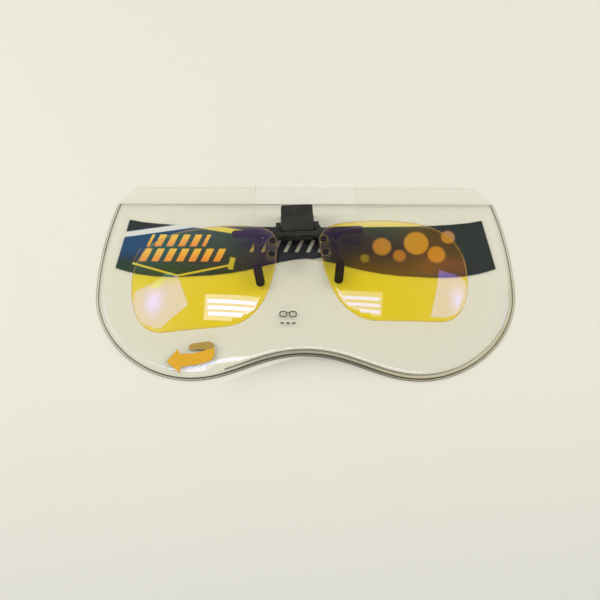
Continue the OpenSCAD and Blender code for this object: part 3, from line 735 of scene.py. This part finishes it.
FRONT_R = LENS_BACK_R + LENS_T
lens_low, lens_high = (Vector(c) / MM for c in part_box("lens_right"))
LENS_MIDDLE = Vector(((lens_low.x + lens_high.x) / 2, (lens_low.y + lens_high.y) / 2))
LENS_HALF = Vector(((lens_high.x - lens_low.x) / 2, (lens_high.y - lens_low.y) / 2))
BALL = Vector((CROWN.x, CROWN.y, lens_high.z - FRONT_R))
PAD = Vector((lens_low.x + PAD_INSET, FLIP.y - PAD_DROP))


def on_ball(p, radius, lift=0.0):
    """The point over a plan point on a ball about the lens's centre, or raised from it."""
    out_sq = (p.x - BALL.x) ** 2 + (p.y - BALL.y) ** 2
    return Vector((p.x, p.y, BALL.z + math.sqrt(radius**2 - out_sq) + lift))


def screw_holes(radius):
    """Rings where the walls of the two holes, along the screw pad's own normal, meet a ball."""
    out = PAD - BALL.xy
    up = math.sqrt(LENS_BACK_R**2 - out.length_squared)
    on_pad = (
        Matrix.Translation((PAD.x, PAD.y, BALL.z + up))
        @ Matrix.Rotation(math.atan2(out.x, up), 4, "Y")
        @ Matrix.Rotation(-math.asin(out.y / LENS_BACK_R), 4, "X")
    )
    holes = []
    for end in (-1, 1):
        centre = Vector((-math.sin(SCREW_LEAN), math.cos(SCREW_LEAN))) * (end * SCREW_PITCH / 2)
        ring = circle(centre, LENS_HOLE_R, 20)
        heights = [math.sqrt(radius**2 - p.length_squared) - LENS_BACK_R for p in ring]
        holes.append([on_pad @ Vector((p.x, p.y, z)) for p, z in zip(ring, heights)])
    return holes


def spot(p):
    """A plan point as a key that small rounding errors don't change."""
    return tuple(round(c, 4) for c in p)


def lens_faces(inner, holes):
    """The plan inside the lens's rounded rim: its points, its faces and the point number at each spot."""
    centres = [sum(h, Vector((0, 0))) / len(h) for h in holes]
    clear = LENS_HOLE_R + HOLE_CLEAR
    grid = grid_inside(inner, step=1.6, margin=0.7)
    extra = [p for p in grid if all((p - c).length > clear for c in centres)]
    plan, edges = [], []
    for loop in [inner, *holes]:
        edges += chain(len(plan), len(loop))
        plan += loop
    flat, _, faces, *_ = delaunay_2d_cdt(plan + extra, edges, [], OUTSIDE_HOLES, 1e-6)
    return flat, faces, {spot(p): i for i, p in enumerate(flat)}


def add_rim(points, outline):
    """Adds the rings of the rounded rim to the points, from front to back, and gives their numbers."""
    rings = []
    for radius, way, turns in ((FRONT_R, -1, RIM_TURNS), (LENS_BACK_R, 1, RIM_TURNS[::-1])):
        for turn in turns:
            loop = offset_loop(outline, LENS_ROUND * (1 - math.sin(turn)))
            rings.append(range(len(points), len(points) + len(loop)))
            points += [on_ball(p, radius, way * LENS_ROUND * (1 - math.cos(turn))) for p in loop]
    return rings


def lens_curve(curve):
    """One of the outline's curves at its place, from shares of the lens's half width and height."""
    return [LENS_MIDDLE + Vector((x * LENS_HALF.x, y * LENS_HALF.y)) for x, y in curve]


def lens(side):
    """The lens on one side, made as the right one and mirrored for the left."""
    node = "lens_left" if side < 0 else "lens_right"
    outline = list(reversed(curve_points([lens_curve(c) for c in LENS_CURVES], 22)))
    inner = offset_loop(outline, LENS_ROUND)
    holes = [[p.xy for p in ring] for ring in screw_holes(FRONT_R)]
    flat, faces, number = lens_faces(inner, holes)
    count = len(flat)
    points = [on_ball(p, FRONT_R) for p in flat] + [on_ball(p, LENS_BACK_R) for p in flat]
    solid = [tuple(f) for f in faces] + [tuple(count + k for k in reversed(f)) for f in faces]
    walls = []
    for hole, back_ring in zip(holes, screw_holes(LENS_BACK_R)):
        front = [number[spot(p)] for p in hole]
        back = [count + k for k in front]
        for k, p in zip(back, back_ring):
            points[k] = p
        walls += between(front, back)
    rim = [number[spot(p)] for p in inner]
    rings = [rim, *add_rim(points, outline), [count + k for k in rim]]
    for a, b in zip(rings, rings[1:]):
        walls += between(a, b)
    kinds = [0] * len(solid) + [1] * len(walls)
    mirror = Matrix.Diagonal((side, 1, 1, 1))
    solid += walls
    piece = mesh_object(f"{node}_piece", points, solid, [LENS, RIM], kinds, math.radians(50), mirror)
    seat(piece, "lens_yoke", "lens_yellow", node)


for side in (-1, 1):
    lens(side)


# Pouch

# From the pouch's own frame to the part's
ON_POUCH = Matrix.Rotation(POUCH_TURN, 4, "Z") @ Matrix.Translation((POUCH_SHIFT * MM, 0, 0))


def mirrored(right):
    """A closed counterclockwise loop from its right half, which starts on the centre line."""
    return right + [Vector((-p.x, p.y)) for p in reversed(right[1:])]


# The contour's right half up to the mouth, and the whole contour carried on well above it, so that
# insets are measured from its sides and not from the mouth
SIDE = curve_points(POUCH_CURVES, 26) + [Vector((MOUTH_HALF, MOUTH_Y))]
TALL_LOOP = mirrored(SIDE + [Vector((MOUTH_HALF - 4, MOUTH_Y + 25))])


def film_height(p, inset=None):
    """The underside of the front film: it rises steeply inside the weld, and slackly near the arrow."""
    if inset is None:
        inset = distance_to(TALL_LOOP, [p])[0][0]
    off_x, off_y = (p.x - CRINKLE.x) / CRINKLE_REACH.x, (p.y - CRINKLE.y) / CRINKLE_REACH.y
    near = math.exp(-(off_x**2) - off_y**2)
    run = max(0, inset - WELD_W)
    sunk = CRINKLE_SINK * near * (1 - min(1, run / CRINKLE_RUN))
    share = (1 - math.exp(-run / RISE_RUN)) * (1 - sunk)
    slack = noise.noise(Vector((p.x / SLACK_WAVE.x, p.y / SLACK_WAVE.y, 0.3))) - SLACK_LEVEL
    fold = noise.noise(Vector((p.x / FOLD_WAVE.x, (p.y - FOLD_LEAN * p.x) / FOLD_WAVE.y, 4.1)))
    dip = SLACK_DEPTH * min(0, slack) - FOLD_DEPTH * near * max(0, fold)
    return FILM_T + (POUCH_RISE - 2 * FILM_T - 2 * FILM_SHY) * share + share * dip


def below_mouth(ring, y):
    """The part of a ring below a level, from its left end round to its right end."""
    kept = [p for p in ring if p.y < y]
    split = next(i for i in range(1, len(kept)) if kept[i].x < 0)
    return kept[split:] + kept[:split]


FRONT_MATERIALS = [FILM, EDGE, SEAM_LINE, WELD, INNER, MOUTH]


def front_material(p, inset):
    """Which material the front film has at a place."""
    if inset < EDGE_LINE:
        return EDGE
    if p.y > MOUTH_Y - MOUTH_LINE:
        return MOUTH
    if SEAM[0] < inset < SEAM[1]:
        return SEAM_LINE
    if INNER_LINE[0] < inset < INNER_LINE[1] and p.x > INNER_SHOWS.x and p.y < INNER_SHOWS.y:
        return INNER
    return WELD if inset < WELD_W else FILM


def front_film():
    """The front film up to the mouth, with its thin lines and its rise."""
    outline = mirrored(SIDE)
    insets = (EDGE_LINE, *SEAM, *INNER_LINE, *RISE_RINGS)
    lines = [below_mouth(offset_loop(TALL_LOOP, inset), MOUTH_Y - 0.05) for inset in insets]
    reach = MOUTH_HALF - 3
    for drop in (MOUTH_LINE, 1.5, 3):
        lines.append([Vector((x, MOUTH_Y - drop)) for x in np.linspace(-reach, reach, 60)])
    crinkled = [CRINKLE + Vector(c) for c in ((-30, -8), (30, 8))]
    extra = grid_inside(outline, step=3.2, margin=0.8)
    extra += grid_inside(outline, step=1.0, margin=3.2, box=crinkled)
    insets_seen = {}

    def underside(p):
        key = (round(p.x, 3), round(p.y, 3))
        if key not in insets_seen:
            insets_seen[key] = distance_to(TALL_LOOP, [p])[0][0]
        return film_height(p, insets_seen[key])

    def pick(centres):
        near, _ = distance_to(TALL_LOOP, centres)
        return [FRONT_MATERIALS.index(front_material(p, d)) for p, d in zip(centres, near)]

    piece = plate(
        "pouch_front_film", outline, lines, extra, lambda p: underside(p) + FILM_T, underside,
        FRONT_MATERIALS, pick, ON_POUCH,
    )
    seat(piece, "pouch", "clear_film", "pouch_front_sheet")


def back_film():
    """The back film with its header strip, and a small round relief cut at each side of the flap."""
    header_top = MOUTH_Y + HEADER_H
    relief_r = 0.8
    relief = [
        Vector((FLAP_HALF + relief_r + relief_r * math.cos(a), header_top - relief_r * math.sin(a)))
        for a in np.linspace(0, math.pi, 7)
    ]
    outline = mirrored(SIDE + [Vector((MOUTH_HALF - HEADER_H, header_top))] + relief)
    inner = offset_loop(outline, EDGE_LINE)
    reach = MOUTH_HALF - 4
    crease = [Vector((x, MOUTH_Y + 1.1)) for x in np.linspace(-reach, reach, 30)]

    def pick(centres):
        near, _ = distance_to(outline, centres)
        return [1 if d < EDGE_LINE * 0.98 else 0 for d in near]

    piece = plate(
        "pouch_back_film", outline, [inner + inner[:1], crease], grid_inside(inner, step=5, margin=0.8),
        lambda p: FILM_T - FILM_SHY, lambda p: FILM_SHY, [FILM, FAINT], pick, ON_POUCH,
    )
    seat(piece, "pouch", "clear_film", "pouch_back_sheet")


def flap_path():
    """The flap's middle line, as Y and Z from its root round the fold to its end."""
    low_z, high_z = FILM_T / 2, FOLD_R + FOLD_MID_R
    round_fold, round_end = np.linspace(0, math.pi, 9), np.linspace(0.2, math.pi / 2, 7)
    path = [(y, low_z) for y in (MOUTH_Y + HEADER_H, FOLD_Y - 0.9, FOLD_Y - 0.4)]
    path += [(FOLD_Y + FOLD_MID_R * math.sin(a), FOLD_R - FOLD_MID_R * math.cos(a)) for a in round_fold]
    path += [(y, high_z) for y in np.linspace(FOLD_Y, TUCK_Y + FLAP_CORNER, 12)[1:]]
    path += [(TUCK_Y + FLAP_CORNER * (1 - math.sin(a)), high_z) for a in round_end]
    return path


def flap_half(y, z):
    """Half the flap's width at a place, which is less at the round corners of its end and its fold."""
    past_end = TUCK_Y + FLAP_CORNER - y if z > FOLD_R else 0
    past_fold = y + FLAP_CORNER - FOLD_Y - FOLD_MID_R
    past = min(max(past_end, past_fold, 0), FLAP_CORNER)
    return FLAP_HALF - FLAP_CORNER + math.sqrt(FLAP_CORNER**2 - past**2)


def closure_flap():
    """The back film's flap, folded over at the top and tucked into the mouth."""
    path = flap_path()
    columns = [-1, -0.988, -0.5, 0, 0.5, 0.988, 1]
    n = len(columns)
    points, rings = [], []
    for i, (y, z) in enumerate(path):
        y0, z0 = path[max(i - 1, 0)]
        y1, z1 = path[min(i + 1, len(path) - 1)]
        normal = Vector((z1 - z0, y0 - y1)).normalized() * (FILM_T / 2 - FILM_SHY)
        start = len(points)
        rings.append([*range(start, start + n), *reversed(range(start + n, start + 2 * n))])
        for sign in (1, -1):
            points += [(c * flap_half(y, z), y + sign * normal.x, z + sign * normal.y) for c in columns]
    faces, kinds = [], []
    across = [1] + [0] * (n - 3) + [1]
    for a, b in zip(rings, rings[1:]):
        faces += between(a, b)
        kinds += [*across, 1, *across, 1]
    for ring in (rings[0], rings[-1]):
        faces += [(ring[k], ring[k + 1], ring[-2 - k], ring[-1 - k]) for k in range(n - 1)]
        kinds += [1] * (n - 1)
    materials = [FLAP_FILM, FAINT]
    piece = mesh_object("closure_flap_film", points, faces, materials, kinds, transform=ON_POUCH)
    seat(piece, "pouch", "clear_film", "closure_flap")


def printed_patch(name, loop, ink, lift):
    """A thin sticker or print that follows the front film."""
    def face(rise):
        return lambda p: film_height(p) + FILM_T + lift + rise

    piece = plate(
        name, loop, [], grid_inside(loop, step=0.9, margin=0.3), face(0.03), face(-0.015),
        [ink, ink], lambda centres: [0] * len(centres), ON_POUCH,
    )
    seat(piece, "pouch", "clear_film")


def arrow_sticker():
    """A curled arrow stuck on the front film: an orange head and shaft, and a mustard tail."""
    turns = np.linspace(-1.25, 1.45, 10)
    shaft = [(-54.2, -26.4), (-49.1, -30.9), (-48.5, -28.6), (-42.5, -27.7)]
    bend = [(-39.1 + 3.6 * math.cos(a), -22.5 + 4.2 * math.sin(a)) for a in turns]
    back = [(-39.1, -21.7), (-43.7, -23.0), (-49.1, -23.4), (-50.0, -21.2)]
    tail = [
        (-36.9, -21.4), (-41.7, -21.4), (-45.5, -21.7), (-45.9, -20.2), (-44.9, -19.2),
        (-41.5, -18.6), (-38.0, -18.2), (-36.5, -18.7), (-35.5, -20.1),
    ]
    printed_patch("arrow_sticker", [Vector(p) for p in shaft + bend + back], ARROW, 0.03)
    printed_patch("arrow_sticker_tail", [Vector(p) for p in tail], ARROW_BACK, 0.06)


def rounded(x, y, half_w, half_h):
    """A loop between an oval and a box about a point."""
    loop = []
    for turn in circle((0, 0), 1, 28):
        bent = [math.copysign(abs(c) ** 0.7, c) for c in turn]
        loop.append(Vector((x + half_w * bent[0], y + half_h * bent[1])))
    return loop


def size_mark():
    """Spectacles in outline over three dashes, printed on the film at the nose."""
    ink_t = 0.05
    for number, x in enumerate((-8.8, -5.0)):
        outer, inner = rounded(x, -6.6, 1.6, 1.3), rounded(x, -6.6, 1.15, 0.85)
        points, rings = [], []
        for loop, lift in ((outer, ink_t), (inner, ink_t), (inner, 0), (outer, 0)):
            rings.append(range(len(points), len(points) + len(loop)))
            points += [(p.x, p.y, film_height(p) + FILM_T + lift) for p in loop]
        faces = [f for a, b in zip(rings, rings[1:] + rings[:1]) for f in between(a, b)]
        ring = mesh_object(f"size_mark_ring_{number}", points, faces, [INK], transform=ON_POUCH)
        seat(ring, "pouch", "clear_film")
    printed_patch("size_mark_bridge", rounded(-6.9, -6.1, 0.5, 0.2), INK, 0.02)
    for number, x in enumerate((-9.2, -6.9, -4.6)):
        printed_patch(f"size_mark_dash_{number}", rounded(x, -10.4, 0.8, 0.35), INK, 0.02)


front_film()
back_film()
closure_flap()
arrow_sticker()
size_mark()
dressed("insert_band", BAND, "band_print")


# Clip

for node in ("rear_clamp", "rear_leg_left", "rear_leg_right", "front_bridge", "front_arm_left",
             "front_arm_right", "lens_yoke"):
    dressed(node, BLACK, "clip_black", 0.10)
for node in ("leg_sleeve_left", "leg_sleeve_right", "arm_sleeve_left", "arm_sleeve_right"):
    dressed(node, RUBBER, "sleeve_rubber", 0.08)
for node in ("pivot_pin", "friction_leaf"):
    dressed(node, STEEL, "steel", 0.04)
for node in ("flip_pin", "lens_screws", "lens_nuts"):
    dressed(node, DARK_STEEL, "steel", 0.04)
for node in ("lens_bushes", "back_washers"):
    dressed(node, BUSH, "clear_bush", 0.12, BUSH_RIM_GLINT)


def clamp_spring():
    """Torsion spring on the pivot pin, with a leg under each thumb tab."""
    wire_r, coils = 0.25, 5
    pin_r, pin_gap = 0.7, 0.3
    coil_r = pin_r + pin_gap + wire_r
    low, high = (Vector(c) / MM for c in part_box("clamp_spring"))
    reach = high.x - wire_r
    leg_y, tip_y = FLIP.y + 1.6, high.y - 0.05
    leg_angle = math.radians(100)
    turn = 2 * math.pi * coils + math.radians(270) - leg_angle
    steps = 24 * coils
    path = [Vector((reach, tip_y, high.z - wire_r)), Vector((reach, leg_y, PIVOT.z + coil_r + 0.7))]
    for i in range(steps + 1):
        a = leg_angle + turn * i / steps
        y, z = PIVOT.y + coil_r * math.cos(a), PIVOT.z + coil_r * math.sin(a)
        path.append(Vector((reach * (1 - 2 * i / steps), y, z)))
    path.append(Vector((-reach, leg_y, low.z + wire_r)))
    piece = tube("clamp_spring_wire", path, wire_r, 12, STEEL)
    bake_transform(piece, "rear_clamp", "front_bridge", start=(0, 0, 6.0 * MM), end=(0, 0, 8.5 * MM))
    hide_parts("clamp_spring")


clamp_spring()


# Stage, light and camera

VIEW_TURN = math.radians(-2.3)
VIEW_ELEVATION = math.radians(70)
VIEW_DISTANCE = 450
FOCAL_PIXELS = 1125
PHOTO_PIXELS = 600
SENSOR = 36
LOOK_AT = Vector((-0.1, 0, 0))
LAMP_HEIGHT = 700
SPOT_GAIN = 2.4
WARM_WHITE = (1, 0.99, 0.95)
SKY = (0.26, 0.35, 1.0)
TILT = math.radians(-6)
TABLE_REACH = 4000
TABLE_Z = -0.02
CORNERS = ((-1, -1), (1, -1), (1, 1), (-1, 1))
# The soft shade under the pouch's edge at the nose, whose upper edge is a wave
SHADE_CREST_X = 3
SHADE_HALF_WAVE = 45
SHADE_Y = -28.9
SHADE_SWING = 5.1
SHADE_FADE = 4
SHADE_DARK = 0.45


def floor():
    """A pale matt table with painted shade: greyer toward the viewer where less light falls, and at the
    pouch's nose.
    """
    s = Shader("pale_table")
    x, y, _ = s.split()
    colour = s.mix(s.noise(160, 3), (0.785, 0.770, 0.682), (0.820, 0.803, 0.714))
    # Painted falloff of light: greyer toward the viewer
    colour = s.mix(s.ramp(y, -30, -130), colour, (0.720, 0.722, 0.668))
    turn = s.times(s.math("SUBTRACT", x, SHADE_CREST_X * MM), math.pi / (SHADE_HALF_WAVE * MM))
    wave = s.math("COSINE", turn)
    edge = s.math("ADD", s.times(wave, SHADE_SWING * MM), SHADE_Y * MM)
    below = s.math("DIVIDE", s.math("SUBTRACT", edge, y), SHADE_FADE * MM)
    fading = s.math("EXPONENT", s.times(below, -1))
    shade = s.times(s.remap(below, -0.15, 0.15), fading, s.remap(wave, -1, 1, 0, SHADE_DARK))
    near_nose = s.ramp(s.math("ABSOLUTE", x), 35, 45, 1, 0)
    material = s.surface(s.principled({
        "Base Color": s.mix(s.times(shade, near_nose), colour, (0.05, 0.05, 0.04)),
        "Roughness": 0.7,
        "Specular IOR Level": 0.2,
    }))
    corners = [(a * TABLE_REACH, b * TABLE_REACH, TABLE_Z) for a, b in CORNERS]
    mesh_object("floor", corners, [(0, 1, 2, 3)], [material])


def spot_power(s, strength, x, y, radius, height):
    """A lamp's strength, raised over a round spot that fades out like a bell curve."""
    centre = (x * MM, y * MM, height * MM)
    distance = s.add("VectorMath", {0: s.place, 1: centre}, operation="DISTANCE").outputs["Value"]
    away = s.times(distance, 1 / (radius * MM))
    bell = s.math("EXPONENT", s.times(away, away, -1))
    return s.remap(bell, 0, 1, strength, SPOT_GAIN * strength)


def lamp_panel(name, corners, lit, mirrored, colour, spot=None, height=LAMP_HEIGHT):
    """A flat lamp over the table, unseen by the camera: one panel lights matt surfaces, and its twin,
    which may have a brighter spot, is what gloss mirrors."""
    for use, strength in (("light", lit), ("mirrored", mirrored)):
        if not strength:
            continue
        s = Shader(f"{name}_{use}")
        power = spot_power(s, strength, *spot, height) if spot and use == "mirrored" else strength
        tone = WARM_WHITE if use == "light" else colour
        material = s.surface(s.add("Emission", {"Color": (*tone, 1), "Strength": power}).outputs[0])
        points = [(x, y, height) for x, y in corners]
        panel = mesh_object(s.owner.name, points, [tuple(range(len(corners)))], [material])
        panel.visible_camera = panel.visible_shadow = False
        panel.visible_diffuse = use == "light"
        panel.visible_glossy = panel.visible_transmission = use == "mirrored"


def bar(middle, half_length, half_width):
    """The corners of a long lamp, tilted to the frame."""
    along = Vector((math.cos(TILT), math.sin(TILT)))
    across = Vector((-along.y, along.x))
    return [Vector(middle) + a * half_length * along + b * half_width * across for a, b in CORNERS]


def ceiling_lamp():
    """A housing with three bright tubes, a little lower, that show in the film and the lenses."""
    tube_colour, tube_height = (0.52, 0.56, 1.0), LAMP_HEIGHT - 2
    for number, y in enumerate((50, 12, -25)):
        corners = bar((-32, y), 160, 11)
        lamp_panel(f"lamp_tube_{number}", corners, 15.3, 10.0, tube_colour, height=tube_height)
    lamp_panel("lamp_housing", bar((-36, 14), 178, 78), 1.65, 3.2, (1, 0.84, 0.68))


def windows():
    """Daylight from both sides, each window with a brighter spot, and a frame before the left one."""
    left = [(-394, 280), (-1400, 230), (-1400, -150), (-583, -90), (-315, 59)]
    right = [(454, -90), (1400, -160), (1400, 270), (571, 280)]
    frame_corners = [(-626, 239), (-555, 216), (-466, 268), (-433, 299), (-488, 313), (-610, 258)]
    lamp_panel("window_left", left, 4.6, 3.0, SKY, (-594, 127, 85))
    lamp_panel("window_right", right, 5.2, 4.7, SKY, (753, 78, 85))
    lamp_panel("window_frame", frame_corners, 0, 2.7, (0.5, 1.0, 0.77), height=LAMP_HEIGHT - 4)


def room_light():
    """The room's own soft light, weaker from overhead."""
    s = Shader("room", bpy.data.worlds, "Generated")
    strength = s.remap(s.split()[2], 0.70, 0.97, 0.60, 0.08)
    light = s.add("Background", {"Color": (1.0, 0.985, 0.95, 1), "Strength": strength}).outputs[0]
    bpy.context.scene.world = s.surface(light, "OutputWorld")


def camera():
    """The photo's view, from above the table's near side."""
    data = bpy.data.cameras.new("camera")
    data.sensor_width = SENSOR
    data.lens = FOCAL_PIXELS / PHOTO_PIXELS * SENSOR
    view = bpy.data.objects.new("camera", data)
    bpy.context.scene.collection.objects.link(view)
    back = Vector((
        math.sin(VIEW_TURN) * math.cos(VIEW_ELEVATION),
        -math.cos(VIEW_TURN) * math.cos(VIEW_ELEVATION),
        math.sin(VIEW_ELEVATION),
    ))
    view.location = (LOOK_AT + back * VIEW_DISTANCE) * MM
    view.rotation_mode = "QUATERNION"
    view.rotation_quaternion = (-back).to_track_quat("-Z", "Y")
    bpy.context.scene.camera = view


floor()
ceiling_lamp()
windows()
room_light()
camera()
bpy.context.scene.view_settings.view_transform = "Standard"
